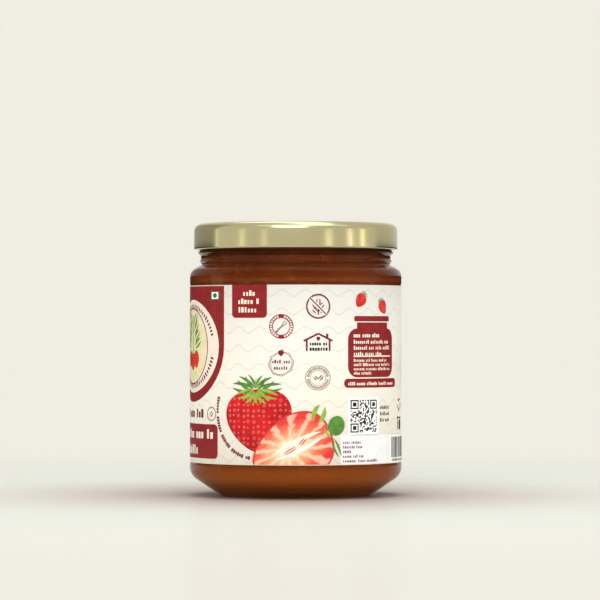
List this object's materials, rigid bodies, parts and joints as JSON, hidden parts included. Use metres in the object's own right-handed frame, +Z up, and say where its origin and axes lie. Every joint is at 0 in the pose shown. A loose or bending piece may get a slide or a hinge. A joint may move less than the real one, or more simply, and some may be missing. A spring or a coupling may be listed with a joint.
{
  "type": "jam jar",
  "caption": "Round glass jar of jam with a sloping heel, beaded neck, pressed metal lid and a wrap-round paper label.",
  "frame": {"origin": "centre of the foot ring, on the ground", "axes": "+Z up along the jar's axis; the side of the label with the fruit faces -Y; +X to the right of that side"},
  "size_m": [0.069, 0.069, 0.0883],
  "materials": {
    "clear_glass": "clear, glossy",
    "fruit_jam": "dense, glossy brown-red fruit jam",
    "printed_paper": "smooth coated paper, printed cream and red",
    "lid_metal": "satin pale gold lacquer over tinplate"
  },
  "bodies": {
    "root": {"glass_jar": "clear_glass", "jam": "fruit_jam", "label": "printed_paper", "lid": "lid_metal"}
  },
  "joints": []
}
